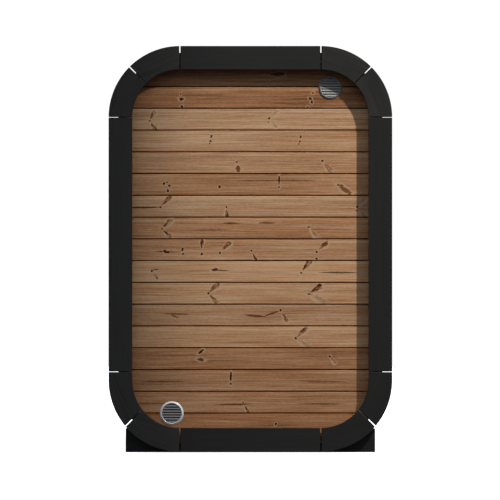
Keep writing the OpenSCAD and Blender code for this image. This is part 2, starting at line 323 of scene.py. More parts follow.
def straight_board(boards, origin, along, across, out, profile, start, end, marks=(), tone=0.0, ease=0.0):
    """A board from start to end along its length. start and end are numbers, or take (v, w)."""
    start, end = (place if callable(place) else lambda v, w, place=place: place for place in (start, end))

    def ring(points, place):
        return [origin + along * place(v, w) + across * v + out * w for v, w in points]

    first = max(start(v, w) for v, w in profile) + ease
    last = min(end(v, w) for v, w in profile) - ease
    cuts = {round(m.along + side * m.reach(), 3) for m in marks for side in (-1, -0.5, 0, 0.5, 1)}
    rings = [ring(drawn_in(profile, INSET * ease), start)] if ease else []
    rings.append([p + along * ease for p in ring(profile, start)])
    rings += [ring(profile, lambda v, w: cut) for cut in sorted(cuts) if first + 0.002 < cut < last - 0.002]
    rings.append([p - along * ease for p in ring(profile, end)])
    if ease:
        rings.append(ring(drawn_in(profile, INSET * ease), end))
    for m in marks:
        m.along += origin.dot(along)
        m.across += origin.dot(across)
    boards.add(rings, (along, across, out), tone, marks)


def layered(outline, layers):
    """Rings of an outline of (x, z) at some (y, by), drawn in by that much."""
    return [[Vector((x, y, z)) for x, z in drawn_in(outline, by)] for y, by in layers]


def round_rings(foot, axes, profile, steps):
    """Circles about the last of three axes from a foot, for a profile of (along, radius)."""
    side, other, axis = axes
    turns = [2 * math.pi * i / steps for i in range(steps)]
    return [[foot + axis * along + (side * math.cos(a) + other * math.sin(a)) * r for a in turns]
            for along, r in profile]


# ---- knots and cracks

# What each kind of knot, crack or streak is made of. A dot has its place along and up, its size and
# its darkness, a branch its foot, lean, length, shade and width for its length, a crack its length,
# width, darkness, place and lean, and a spot all that Mark takes. Lengths are in millimetres.
KNOT_KINDS = {
    ".": "dot 0 0",
    ":": "dot -2 12, dot 2 -10 15",
    "!": "dot -5 30 14 0.5, dot 0 4 25, dot 3 -38 22",
    ";": "dot 14 34 20 0.5, dot 0 6 18, dot 8 -13 17, dot -13 -38 14 0.8",
    "#": "dot -14 14, dot 1 19 11, dot 14 2, dot 5 -24 18",
    "o": "dot -6 22 12, spot 0 -14 95 37 27 0.55",
    "i": "dot -3 20 12 0.8, branch -5 8 -76 52 0.6 0.55",
    "|": "branch 0 -10 86 56 0.5 0.42, dot -1 -36 13",
    "l": "spot 0 6 88 50 11 0.95, dot -1 -30 14 0.9",
    "'": "spot 4 18 70 19 12 0.65, dot 0 -7 13 0.9, dot -5 -20 10 0.7",
    "/": "branch -16 -16 46, dot -21 -24 14",
    "\\": "branch -12 14 -62 62 0.5 0.28, dot -16 22 13",
    "`": "branch -14 14 -46 82 0.12 0.34, dot -19 21 15",
    ",": "branch -12 6 -44 50 0.14 0.34, dot -14 11 13",
    "<": "branch -20 4 46 78, branch -18 -5 -46 70, dot -21 0 12",
    "[": "branch -13 8 66 54 0.4 0.5, branch -12 -8 -62 58 0.4 0.5, dot -16 0 10",
    ">": "branch 18 6 134, branch 16 -6 -132 62, dot 21 0 12",
    "{": "branch -18 2 38 88, branch -16 -6 -34 92 0.08 0.34, dot -22 -2 17",
    "(": "branch -14 8 46 60 0.05 0.34, branch -14 -8 -50 54 0.05 0.34, dot -20 8 13, dot -23 -11 10 0.7",
    "v": "crack 40 9 0.8 10 10 8, branch -8 -2 -50 46 0.3, dot -10 2 13",
    "w": "spot 0 -4 -36 88 26 0.48, dot -34 20 12 0.8",
    "e": "spot 0 0 3 85 25 1.6, dot -48 -28 15 0.8",
    "+": "crack 135 9 0.8, dot -5 1 24, dot 9 -2 16",
    "t": "crack 110 10 0.8 28 -3 -3, spot 0 0 12 36 19 0.7",
    "c": "spot 2 24 38 34 14 0.9, spot 0 -18 -8 40 17 0.62",
    "-": "crack 90 11 0.85",
    "=": "crack 200 11 1",
    "_": "crack 230 10 0.85",
    "~": "crack 110 15 0.85 -50 -6 -5, crack 105 12 0.85 38 6 19",
    "y": "crack 52 9 0.85 3 -4 -22, crack 150 13 0.7 15 8 -2",
    "s": "crack 270 10 0.72"}


def knot_marks(rng, kind, x, z):
    """The marks of one knot, crack or streak at (x, z) on a board's face, in metres."""
    def spot(dx, dz, lean, length, width, dark):
        return Mark(x + dx / 1000, z + dz / 1000, lean, length / 1000, width / 1000, dark)

    def dot(dx, dz, size=16, dark=0.9):
        size *= rng.uniform(0.85, 1.2)
        return spot(dx, dz, rng.uniform(0, 180), size, size * rng.uniform(0.7, 0.95), dark)

    def branch(dx, dz, lean, length=74, shade=0.5, wide=0.35):
        length *= rng.uniform(0.88, 1.12)
        shade *= rng.uniform(0.75, 1.25)
        lean += rng.uniform(-7, 7)
        out, up = length / 2 * math.cos(math.radians(lean)), length / 2 * math.sin(math.radians(lean))
        return spot(dx + out, dz + up, lean, length, length * wide * rng.uniform(0.85, 1.15), 1.01 + shade)

    def crack(length, width, dark, dx=0, dz=0, lean=0):
        return spot(dx, dz, lean + rng.uniform(-1, 1), length * rng.uniform(0.85, 1.15), width, -dark)

    makers = {"spot": spot, "dot": dot, "branch": branch, "crack": crack}
    parts = [part.split() for part in KNOT_KINDS[kind].split(",")]
    return [makers[name](*map(float, numbers)) for name, *numbers in parts]


# ---- node graphs

def math_node(operation):
    """What a Value does for an operator."""
    return lambda one, two=0.0: one.graph.math(operation, one, two)


class Value:
    """An output of a node, which can be reckoned with: each operator makes a Math node."""

    def __init__(self, graph, socket):
        self.graph, self.socket = graph, socket

    __add__, __sub__, __mul__ = math_node("ADD"), math_node("SUBTRACT"), math_node("MULTIPLY")
    __truediv__, __pow__, __abs__ = math_node("DIVIDE"), math_node("POWER"), math_node("ABSOLUTE")
    __gt__, __lt__ = math_node("GREATER_THAN"), math_node("LESS_THAN")

    def __rsub__(self, other):
        return self.graph.math("SUBTRACT", other, self)


class Graph:
    """Short ways to write a material's nodes. Their inputs may be Values, numbers or tuples."""

    def __init__(self, owner):
        owner.use_nodes = True
        self.owner, self.nodes, self.links = owner, owner.node_tree.nodes, owner.node_tree.links

    def put(self, socket, value):
        if isinstance(value, Value):
            self.links.new(value.socket, socket)
        else:
            socket.default_value = value

    def node(self, kind, inputs, **settings):
        made = self.nodes.new("ShaderNode" + kind)
        for name, value in settings.items():
            setattr(made, name, value)
        for key, value in inputs.items():
            self.put(made.inputs[key], value)
        return made

    def value(self, kind, inputs, output=0, **settings):
        """An output of a new node, by its number or name."""
        return Value(self, self.node(kind, inputs, **settings).outputs[output])

    def shade(self, inputs):
        """Sets inputs of the material's own shader, and returns the material."""
        for name, value in inputs.items():
            self.put(self.nodes["Principled BSDF"].inputs[name], value)
        return self.owner

    def math(self, operation, a, b=0.0):
        return self.value("Math", {0: a, 1: b}, operation=operation)

    def vector(self, x, y, z):
        return self.value("CombineXYZ", {0: x, 1: y, 2: z})

    def split(self, vector):
        return [Value(self, part) for part in self.node("SeparateXYZ", {0: vector}).outputs]

    def scaled(self, vector, *scales):
        return self.vector(*(part * by for part, by in zip(self.split(vector), scales)))

    def attribute(self, name):
        return self.value("Attribute", {}, "Vector", attribute_name=name)

    def places(self):
        return self.value("TexCoord", {}, "Object")

    def ray(self, kind):
        return self.value("LightPath", {}, f"Is {kind} Ray")

    def noise(self, vector, scale=1.0, detail=2.0, rough=0.5):
        return self.value("TexNoise", {"Vector": vector, "Scale": scale, "Detail": detail,
                                       "Roughness": rough})

    def ranged(self, value, low, high, to_low=0.0, to_high=1.0, smooth=False):
        return self.value("MapRange", {0: value, 1: low, 2: high, 3: to_low, 4: to_high},
                          interpolation_type="SMOOTHSTEP" if smooth else "LINEAR")

    def mix(self, share, a, b, blend="MIX"):
        a, b = (colour if isinstance(colour, Value) else (*colour, 1.0) for colour in (a, b))
        return self.value("Mix", {0: share, 6: a, 7: b}, 2, data_type="RGBA", blend_type=blend)

    def ramp(self, value, stops):
        made = self.node("ValToRGB", {0: value})
        ends = made.color_ramp.elements
        while len(ends) < len(stops):
            ends.new(0.5)
        for end, (place, colour) in zip(ends, stops):
            end.position, end.color = place, (*colour, 1.0)
        return Value(self, made.outputs[0])

    def bump(self, height, distance):
        return self.value("Bump", {"Height": height, "Distance": distance})


# ---- materials

def knot_fields(g, name, grit):
    """Masks from 0 to 1 of the knots or cracks that an attribute places, and how dark a heart is."""
    kx, ky, dark = g.split(g.attribute(name))
    is_knot, is_branch = dark > 0.01, dark > 1.001
    side = ky / (1.0 - is_branch * g.ranged(kx, -1, 0.4, 0.65, 0))
    along = (kx * kx) ** (is_branch * (kx > 0.0) + 1.0)
    ragged = g.math("SQRT", along + side * side) + grit * 0.5
    core = is_knot * g.ranged(ragged, 0.74, 1.12, 1, 0, smooth=True)
    halo = is_knot * g.ranged(ragged, 1.0, 2.1, 1, 0, smooth=True)
    halo = halo * g.ranged(side * is_branch, -0.7, 0.9, 1.0, 0.45)
    fibres = g.noise(g.vector(kx * 1.3, ky * 1.2, dark * 31.0), detail=3) + (side + grit * 0.6) * 0.13
    fibres = is_branch * g.ranged(fibres, 0.42, 0.60)
    shade = dark - is_branch
    heart = shade * (1.0 - is_branch * 0.65) + fibres * (shade * 0.95 + 0.12)
    off = abs(ky) / g.math("MAXIMUM", 1.0 - kx * kx, 0.001) + grit * 0.5
    inside = (dark < -0.01) * (abs(kx) < 1.0)
    crack = inside * g.ranged(off, 0.3, 1.3, 1, 0, smooth=True) * abs(dark)
    return {"core": core, "halo": halo, "heart": heart, "crack": crack}


# The pale wood round the knots, and a near-black grey for the tongues in place of the wood's colour:
# painted shade for the depth of the joints between boards.
PALE_WOOD, TONGUE_SHADE_COLOUR = (0.57, 0.37, 0.21), (0.060, 0.047, 0.036)
WOOD_RAMP = ((0.00, (0.600, 0.400, 0.235)), (0.38, (0.450, 0.248, 0.130)),
             (0.70, (0.315, 0.148, 0.067)), (1.00, (0.170, 0.075, 0.033)))
HEART_RAMP = ((0.00, (0.500, 0.320, 0.185)), (0.30, (0.300, 0.130, 0.058)),
              (0.60, (0.150, 0.043, 0.016)), (0.95, (0.042, 0.009, 0.003)))
CRACK_RAMP = ((0.00, (0.200, 0.070, 0.024)), (0.60, (0.130, 0.038, 0.013)),
              (1.00, (0.050, 0.012, 0.005)))


def with_knots(g, colour, knots):
    """The wood's colour with its knots and cracks drawn on it, the pale surrounds first."""
    halo = g.math("MAXIMUM", *(k["halo"] for k in knots))
    colour = g.mix(halo * 0.80, colour, PALE_WOOD)
    for k in knots:
        colour = g.mix(k["core"], colour, g.ramp(k["heart"], HEART_RAMP))
        colour = g.mix(k["crack"], colour, g.ramp(k["crack"], CRACK_RAMP))
    return colour


def grain_fields(g, bend=None):
    """The patterns that the woods share. Each is a noise about 0, and lines is from 0 to 1."""
    u, v, w = g.split(g.attribute("grain"))
    if bend is not None:
        v = v + bend * 0.010

    def stretched(along, across, **settings):
        return g.noise(g.vector(u * along, v * across, w * across), **settings) - 0.5

    v = v + stretched(1.5, 6, detail=1) * 0.020
    lines = g.ranged(stretched(2.0, 130), 0.09, 0.2, smooth=True)
    return {"streaks": stretched(3.5, 170, detail=3, rough=0.6), "pores": stretched(18, 900, detail=1),
            "flecks": stretched(60, 240), "flames": stretched(1.2, 20), "lines": lines,
            "patches": stretched(2.0, 7, detail=1), "hue": stretched(1.4, 90)}


def brown_wood(name, shade=0.38, contrast=1.0, shine=0.10, rough=(0.55, 0.72)):
    """Heat-treated softwood: level streaks from tan to red-brown, dark knots and cracks."""
    g = Graph(bpy.data.materials.new(name))
    grit = g.noise(g.scaled(g.attribute("grain"), 55, 120, 120), detail=4)
    grit = g.ranged(grit, 0.33, 0.67, -0.6, 0.6)
    knots = [knot_fields(g, layer, grit) for layer in ("knot", "more_knot")]
    f = grain_fields(g, g.math("MAXIMUM", *(k["halo"] for k in knots)))
    tone, redness, place = g.split(g.attribute("tone"))
    # The lighter band at 0.88 of the way across each board is a painted highlight, standing in for the
    # board's upper edge catching the key light from above.
    value = shade - tone - g.ranged(abs(place - 0.88), 0.02, 0.06, 1, 0, smooth=True) * 0.14
    for field, amount in (("streaks", 1.15), ("flecks", 0.50), ("flames", 0.55), ("patches", 0.40),
                          ("pores", 0.12), ("lines", 0.22)):
        value = value + f[field] * (amount * contrast)
    colour = g.ramp(value, WOOD_RAMP)
    edges = abs(place * 2.0 - 1.0)
    red = f["hue"] * 2.6 + redness * 0.25 + 0.25 + g.ranged(edges, 0.86, 0.98, 0.0, 0.5)
    colour = g.mix(red, colour, g.mix(1.0, colour, (1.04, 0.86, 0.70), "MULTIPLY"))
    colour = with_knots(g, colour, knots)
    one, two = (k["core"] * 0.5 + k["crack"] for k in knots)
    hollow = one + two
    return g.shade({
        # The tongues are painted near-black: painted shade in the joints between boards.
        "Base Color": g.mix(g.ranged(place, 1.0, 1.01, 0, 0.75), colour, TONGUE_SHADE_COLOUR),
        "Roughness": g.ranged(f["streaks"], -0.2, 0.2, *rough),
        "Normal": g.bump(hollow * -0.8 - f["streaks"] - f["pores"] * 0.4, 0.0005),
        "Specular IOR Level": g.math("MAXIMUM", shine - hollow * (0.9 * shine), 0.0)})


def black_wood(name, light, dark, rough=(0.45, 0.6), shine=0.5):
    """Black-stained softwood, with the grain just showing through."""
    g = Graph(bpy.data.materials.new(name))
    f = grain_fields(g)
    value = 0.5 - g.split(g.attribute("tone"))[0]
    for field, amount in (("streaks", 0.9), ("flames", 0.6), ("patches", 0.5), ("lines", 0.25)):
        value = value + f[field] * amount
    pale = [2.2 * part for part in light]
    return g.shade({
        "Base Color": g.ramp(value, ((0.0, pale), (0.3, light), (1.0, dark))),
        "Roughness": g.ranged(f["streaks"], -0.2, 0.2, *rough),
        "Normal": g.bump(f["streaks"] * -1.0 - f["pores"] * 0.4, 0.0004),
        "Specular IOR Level": shine})


def steel(name, colour=(0.62, 0.63, 0.64), rough=(0.22, 0.34), stretch=(900, 900, 900), metallic=1.0):
    """Brushed stainless steel."""
    g = Graph(bpy.data.materials.new(name))
    brushed = g.noise(g.scaled(g.places(), *stretch), detail=3)
    smudged = g.noise(g.places(), scale=25, detail=2)
    both = smudged * 0.4 + brushed * 0.6
    darker, lighter = [0.9 * part for part in colour], [min(1, 1.08 * part) for part in colour]
    return g.shade({
        "Base Color": g.ramp(both, ((0.3, darker), (0.7, lighter))), "Metallic": metallic,
        "Roughness": g.ranged(both, 0.3, 0.7, *rough), "Normal": g.bump(brushed, 0.00002)})


def roof_felt(name):
    """Weather sheet with a fine mineral surface."""
    g = Graph(bpy.data.materials.new(name))
    grit = g.split(g.value("TexVoronoi", {"Vector": g.places(), "Scale": 420.0}, "Color"))[0]
    patches = g.noise(g.places(), scale=3.0, detail=3)
    colour = g.ramp(patches * 0.35 + grit * 0.65, (
        (0.15, (0.012, 0.013, 0.014)), (0.6, (0.030, 0.031, 0.033)), (0.95, (0.085, 0.087, 0.09))))
    return g.shade({
        "Base Color": colour, "Roughness": g.ranged(grit, 0, 1, 0.75, 0.92),
        "Normal": g.bump(grit, 0.0005)})


def bronze_glass(name):
    """Tinted safety glass with faint smears."""
    g = Graph(bpy.data.materials.new(name))
    smear = g.noise(g.scaled(g.places(), 5, 5, 2), detail=3)
    return g.shade({
        "Base Color": (0.62, 0.47, 0.34, 1), "Transmission Weight": 1.0, "IOR": 1.5,
        "Roughness": g.ranged(smear, 0.4, 0.8, 0.0, 0.06)})


WALL_WOOD = brown_wood("wall_wood")
STAVE_WOOD = brown_wood("stave_wood", shade=0.46)
FLOOR_WOOD = brown_wood("floor_wood", shade=0.10, contrast=0.8)
TRIM_WOOD = black_wood("trim_wood", (0.0108, 0.0100, 0.0090), (0.0036, 0.0033, 0.0029), shine=0.3)
CRADLE_WOOD = black_wood("cradle_wood", (0.013, 0.013, 0.013), (0.0045, 0.0045, 0.0045), (0.6, 0.75), 0.2)
FRAME_WOOD = black_wood("frame_wood", (0.0125, 0.0125, 0.013), (0.0065, 0.0065, 0.0068))
HANDLE_WOOD = brown_wood("handle_wood", shade=0.15, contrast=0.6)
VENT_STEEL = steel("vent_steel", (0.80, 0.81, 0.82), rough=(0.28, 0.36), metallic=0.1)
LOUVRE_STEEL = steel("louvre_steel", (0.20, 0.205, 0.21), rough=(0.36, 0.46))
# The upper vent's steel and louvres are darker copies of the lower vent's: painted shade for the top trim's
# shadow, which falls on the upper vent.
SHADED_UPPER_VENT_STEEL = steel("shaded_upper_vent_steel", (0.21, 0.20, 0.19), rough=(0.30, 0.40), metallic=0.0)
SHADED_UPPER_LOUVRES = steel("shaded_upper_louvres", (0.28, 0.27, 0.255), rough=(0.40, 0.50), metallic=0.0)
HINGE_STEEL = steel("hinge_steel", stretch=(1800, 1800, 40))
ROOF_FELT = roof_felt("roof_felt")
DOOR_GLASS = bronze_glass("bronze_glass")


# ---- shell of staves

def stave_panel(name, node, lines, seed, mitred=False):
    """One panel of staves from end to end, whose joints on the outer face are lines, as (x, z)."""
    boards = Boards(seed, tongued=not mitred)
    joints = [Vector((x, 0, z)) for x, z in lines]
    for low, high in zip(joints, joints[1:]):
        width = (high - low).length
        across = (high - low) / width
        out = across.cross(BACK)
        if out.dot(low - SHELL_MIDDLE) < 0:
            out = -out
        if mitred:
            profile = mitred_profile(width)
        else:
            profile = joined_profile(width, SHELL_R - ROOM_R, edge=0.0035, gap=0.0016, rows=6)
        marks = boards.random_marks(-SHELL_END, SHELL_END, width)
        straight_board(boards, low, BACK, across, out, profile, -SHELL_END, SHELL_END, marks,
                       boards.random_tone())
    boards.make(name, STAVE_WOOD, "staves", node)


def mitred_profile(width):
    """Section of a corner stave, whose edges lie on lines to the corner's centre."""
    thick = (SHELL_R - ROOM_R) * math.cos(math.pi / 4 / CORNER_STAVES)
    draw = width * (1 - ROOM_R / SHELL_R) / 2
    edge, play = 0.003, 0.0002
    slip = edge * draw / thick
    left = [(draw + edge, -thick), (draw - slip, -thick + edge), (slip + play, -edge), (edge, 0)]
    return left + [(width - v, w) for v, w in left[::-1]]


def build_shell():
    pitch = (CORNER_TOP - CORNER_LOW) / SIDE_STAVES
    for side, name in ((-1, "left"), (1, "right")):
        lines = [(side * (CORNER_X + SHELL_R), CORNER_LOW + pitch * k) for k in range(SIDE_STAVES + 1)]
        stave_panel(f"side_staves_{name}", f"side_wall_{name}", lines, 20 + side)
    pitch = 2 * CORNER_X / FLAT_STAVES
    for name, node, z, seed in (("roof_staves", "roof", CORNER_TOP + SHELL_R, 31),
                                ("bottom_staves", "bottom_shell", CORNER_LOW - SHELL_R, 29)):
        stave_panel(name, node, [(-CORNER_X + pitch * k, z) for k in range(FLAT_STAVES + 1)], seed)
    corners = (("top_right", 1, CORNER_TOP), ("top_left", -1, CORNER_TOP),
               ("bottom_left", -1, CORNER_LOW), ("bottom_right", 1, CORNER_LOW))
    for turn, (name, side, z) in enumerate(corners):
        turns = [math.pi / 2 * (turn + k / CORNER_STAVES) for k in range(CORNER_STAVES + 1)]
        lines = [(side * CORNER_X + SHELL_R * math.cos(a), z + SHELL_R * math.sin(a)) for a in turns]
        stave_panel(f"corner_staves_{name}", f"corner_shell_{name}", lines, 40 + turn, True)


# ---- end walls

# Knots of the rear wall: their places in millimetres and their kinds, from the top board down.
REAR_KNOTS = (
    (136, 1954, "e"), (-357, 1825, "!"), (309, 1825, ";"), (-505, 1716, "["), (117, 1720, "("),
    (-206, 1618, "'"), (256, 1615, "'"), (-64, 1481, "o"), (391, 1486, "`"), (-433, 1377, "#"),
    (-159, 1375, "."), (149, 1402, "l"), (40, 1405, "s"), (200, 1406, "s"), (490, 1363, "w"),
    (-446, 1292, "/"), (-558, 1267, "="), (-121, 1249, "i"), (572, 1262, "("), (-437, 1155, "<"),
    (-100, 1185, "-"), (84, 1187, "-"), (-200, 1150, "s"), (320, 1145, "`"), (-436, 1038, "+"),
    (-349, 1038, ":"), (-251, 1062, "|"), (-137, 1056, "/"), (21, 1020, "\\"), (365, 1060, "/"),
    (343, 1001, "."), (-500, 935, "v"), (-183, 944, "t"), (284, 953, "/"), (455, 930, "_"),
    (-196, 822, "<"), (325, 822, "{"), (-394, 707, "y"), (75, 712, "~"), (172, 712, "\\"),
    (256, 592, "{"), (-258, 497, "c"), (425, 485, ","), (-101, 385, "l"), (-450, 366, "s"),
    (370, 366, "s"), (-22, 234, "\\"), (-90, 247, "_"), (-510, 252, "s"), (370, 250, "s"),
    (131, 145, "."))
# How light each board of the rear wall is, from the bottom up: 5 is the middle.
REAR_TONES = "13337478546456612"
TONE_STEP = 0.08


def rear_marks(k, z0, z1):
    rng = random.Random(300 + k)
    return [mark for x, z, kind in REAR_KNOTS if z0 < z / 1000 <= z1
            for mark in knot_marks(rng, kind, x / 1000, z / 1000 - z0)]


def wall_boards(name, node, side_y, low_x, high_x, low_z, seed):
    """Level boards between two places, cut to the room's outline. side_y < 0 is the rear wall."""
    edges = [ROOM_FLOOR, *WALL_JOINTS, ROOM_TOP]
    boards = Boards(seed, tongued=True)
    for k, (z0, z1) in enumerate(zip(edges, edges[1:])):
        if z1 <= low_z + SLACK:
            continue
        z0 = max(z0, low_z)
        profile = joined_profile(z1 - z0, WALL_FACE - WALL_BACK, tongue=z1 < ROOM_TOP,
                                 groove=z0 > max(low_z, ROOM_FLOOR) + SLACK)
        if side_y < 0:
            tone, marks = TONE_STEP * (int(REAR_TONES[k]) - 5), rear_marks(k, z0, z1)
        else:
            tone, marks = boards.random_tone(), boards.random_marks(low_x, high_x, z1 - z0)

        def half_width(v, w):
            return room_half_width(min(max(z0 + v, ROOM_FLOOR), ROOM_TOP))

        start = low_x if low_x > -CORNER_X else lambda v, w: -half_width(v, w)
        end = high_x if high_x < CORNER_X else half_width
        straight_board(boards, Vector((0, side_y * WALL_FACE, z0)), RIGHT, UP, BACK * side_y, profile,
                       start, end, marks, tone)
    return boards.make(name, WALL_WOOD, "wall_boards", node)


def cut_vent_holes(piece):
    """Cuts the two round holes through the rear wall."""
    for vent in (middle("upper_vent_grille"), middle("lower_vent_grille")):
        bpy.ops.mesh.primitive_cylinder_add(
            vertices=64, radius=VENT_HOLE_R, depth=0.4, location=(vent.x, -WALL_FACE, vent.z),
            rotation=(math.pi / 2, 0, 0))
        cutter = bpy.context.object
        cut = piece.modifiers.new("hole", "BOOLEAN")
        cut.operation, cut.solver, cut.object = "DIFFERENCE", "EXACT", cutter
        bpy.context.view_layer.objects.active = piece
        bpy.ops.object.modifier_apply(modifier=cut.name)
        bpy.data.objects.remove(cutter)


def build_walls():
    cut_vent_holes(wall_boards("rear_wall_boards", "rear_wall", -1, -ROOM_X, ROOM_X, ROOM_FLOOR, 5))
    door = span("door_frame", 0)
    over = span("front_wall_over_door", 2)[0]
    for place, low_x, high_x, low_z, seed in (("left", -ROOM_X, door[0], ROOM_FLOOR, 6),
                                              ("right", door[1], ROOM_X, ROOM_FLOOR, 7),
                                              ("over_door", *door, over, 8)):
        wall_boards(f"front_boards_{place}", f"front_wall_{place}", 1, low_x, high_x, low_z, seed)


# ---- vents

def lathe(mesh, centre, profile, steps=96):
    """Turns a closed profile of (radius, outwards) about a level axis through the rear wall."""
    turns = [2 * math.pi * i / steps for i in range(steps)]
    mesh.add([[(centre.x + r * math.cos(a), -WALL_FACE - out, centre.z + r * math.sin(a))
               for r, out in profile] for a in turns], joined=True)


def quarter(r, out, dr, dout, steps):
    """Points of a quarter ellipse from (r, out) that ends dr and dout away."""
    turns = [math.pi / 2 * i / steps for i in range(steps + 1)]
    return [(r + dr * (1 - math.cos(a)), out + dout * math.sin(a)) for a in turns]


def vent_grille(name, rim_steel, louvre_steel):
    """A round rim with a rolled edge, and louvres that shed rain."""
    node = name + "_grille"
    centre = middle(node)
    rim_r = centre.x - span(node, 0)[0]
    crown, crest_r = 0.85 * (-WALL_FACE - span(node, 1)[0]), VENT_OPEN_R + 0.0045
    slope = [(rim_r - 0.0008 + (crest_r + 0.0022 - rim_r) * t, 0.0016 + (crown - 0.0022) * t)
             for t in (0.3, 0.6, 0.9)]
    rim, louvres = Tubes(), Tubes()
    lathe(rim, centre, [
        (VENT_OPEN_R, 0.0), (rim_r, 0.0), (rim_r, 0.0006), *quarter(rim_r, 0.0006, -0.0008, 0.0010, 4),
        *slope, (crest_r + 0.0004, crown), (crest_r - 0.0004, crown), (crest_r - 0.0012, crown - 0.0005),
        (VENT_OPEN_R + 0.0006, crown - 0.0044), (VENT_OPEN_R, crown - 0.0056)])
    rim.make(name + "_rim", rim_steel, "vent_steel", node)
    section = [(0.0052 * t + 0.0012, 0.0036 - 0.0076 * t ** 1.25) for t in (0, 0.2, 0.4, 0.6, 0.8, 1)]
    section += [(out + 0.0002, up - 0.0015) for out, up in section[::-1]]
    for i in range(VENT_SLATS):
        z = (i - (VENT_SLATS - 1) / 2) * SLAT_PITCH
        slat = []
        for out, up in section:
            reach = VENT_OPEN_R + 0.0004 + 0.6 * max(0, out + 0.0044 - crown)
            slat.append((math.sqrt(reach ** 2 - (z + up) ** 2), out, z + up))
        louvres.add([[(centre.x + side * half, -WALL_FACE - out, centre.z + up) for half, out, up in slat]
                     for side in (-1, 1)])
    louvres.make(name + "_louvres", louvre_steel, "vent_steel", node)


# ---- end trim

TRIM_EDGE, TRIM_STEPS = 0.0025, 28
TRIM_PROFILE = plain_profile(TRIM_W, TRIM_T, TRIM_EDGE)
SMALL_TRIM = drawn_in(TRIM_PROFILE, INSET * TRIM_EDGE)
# How light each trim board is: partly its own tone, partly painted light. Boards on the left and at the top
# are lighter and those on the right darker, to even out the key light's falloff towards the left and
# downwards.
TRIM_TONES_AND_PAINTED_LIGHT = {"top": 0.15, "bottom": 0.00, "left": 0.60, "right": -0.15,
              "top_left": 0.50, "top_right": 0.30, "bottom_left": 0.45, "bottom_right": -0.25}


def trim_corner(end, name, side_y, seed):
    """The two curved boards of a corner, drawn as at the top right and mirrored by the sides."""
    side_x = -1 if name.endswith("left") else 1
    side_z, centre_z, lead = (1, BEND_TOP, 0.0) if name.startswith("top") else (-1, BEND_LOW, CORNER_LEAD)
    centre = Vector((side_x * BEND_X, side_y * cad_high.y, centre_z))
    half, off = TRIM_GAP / 2, lead * math.sin(math.pi / 4)

    def mirrored(x, z, w=0.0):
        return Vector((side_x * x, side_y * w, side_z * z))

    def slant(r, sign):
        opening = half * (0.35 + 0.65 * (r - TRIM_R + TRIM_W) / TRIM_W)
        return math.pi / 4 + math.asin((sign * opening - off) / r)

    parts = ((3, lambda r: slant(r, 1), lambda r: math.acos(half / r)),
             (1, lambda r: 0.0 if lead else math.asin(UPRIGHT_GAP / 2 / r), lambda r: slant(r, -1)))
    boards = Boards(seed)
    for eighths, first, last in parts:
        def arc_ring(section, share, nudge=0.0):
            ring = []
            for v, w in section:
                r = TRIM_R - TRIM_W + v
                a = first(r) + (last(r) - first(r)) * share + nudge / r
                ring.append(centre + mirrored(r * math.cos(a), r * math.sin(a), w))
            return ring

        if eighths == 1 and lead:
            foot = UPRIGHT_GAP / 2 - lead
            rings = [[centre + mirrored(TRIM_R - TRIM_W + v, up, w) for v, w in section]
                     for section, up in ((SMALL_TRIM, foot), (TRIM_PROFILE, foot + TRIM_EDGE))]
            rings.append(arc_ring(TRIM_PROFILE, 0))
        else:
            rings = [arc_ring(SMALL_TRIM, 0), arc_ring(TRIM_PROFILE, 0, TRIM_EDGE)]
        rings += [arc_ring(TRIM_PROFILE, k / TRIM_STEPS) for k in range(1, TRIM_STEPS)]
        rings += [arc_ring(TRIM_PROFILE, 1, -TRIM_EDGE), arc_ring(SMALL_TRIM, 1)]
        c, s = math.cos(math.pi / 8 * eighths), math.sin(math.pi / 8 * eighths)
        # The tone carries painted light against the key light's falloff, as well as the board's own tone.
        tone = TRIM_TONES_AND_PAINTED_LIGHT[name] + boards.random_tone() / 2
        boards.add(rings, (mirrored(-s, c), mirrored(c, s), BACK), tone)
    boards.make(f"{end}_trim_boards_{name}", TRIM_WOOD, "trim", f"{end}_trim_corner_{name}")


def build_trim():
    half = BEND_X - TRIM_GAP / 2
    low = BEND_LOW + CORNER_LEAD + UPRIGHT_GAP / 2
    level, upright = (RIGHT, UP, 2 * half), (UP, RIGHT, BEND_TOP - UPRIGHT_GAP / 2 - low)
    straight = (("top", -half, TRIM_HIGH - TRIM_W, level), ("bottom", -half, TRIM_LOW, level),
                ("left", -cad_high.x, low, upright), ("right", cad_high.x - TRIM_W, low, upright))
    for end, side_y, seed in (("rear", -1, 50), ("front", 1, 150)):
        for more, (name, x, z, (along, across, length)) in enumerate(straight, 1):
            boards = Boards(seed + more)
            # The tone carries painted light against the key light's falloff, as well as the board's own
            # tone.
            straight_board(boards, Vector((x, side_y * cad_high.y, z)), along, across, BACK * side_y,
                           TRIM_PROFILE, 0.0, length, tone=TRIM_TONES_AND_PAINTED_LIGHT[name], ease=TRIM_EDGE)
            boards.make(f"{end}_trim_board_{name}", TRIM_WOOD, "trim", f"{end}_trim_{name}")
        for more, name in enumerate(("top_left", "top_right", "bottom_left", "bottom_right"), 10):
            trim_corner(end, name, side_y, seed + more)


# ---- cradles and floor

def cross_beam(boards, right, low_y, high_y, ease):
    """A beam across the sauna, with its grain along x. right is the right half of its (x, z) outline."""
    outline = right + [(-x, z) for x, z in right[::-1]]
    ends = (low_y, INSET * ease), (low_y + ease, 0), (high_y - ease, 0), (high_y, INSET * ease)
    boards.add(layered(outline, ends), (RIGHT, UP, BACK), boards.random_tone() * 0.5)


def build_cradles():
    for end, seed in (("rear", 200), ("front", 201)):
        node = f"cradle_{end}"
        half, top = span(node, 0)[1], span(node, 2)[1]
        boards = Boards(seed)
        cross_beam(boards, [(half, 0), (half, top), *shell_run(SHELL_R, top, 1)], *span(node, 1), 0.003)
        boards.make(f"cradle_beam_{end}", CRADLE_WOOD, "cradle", node)


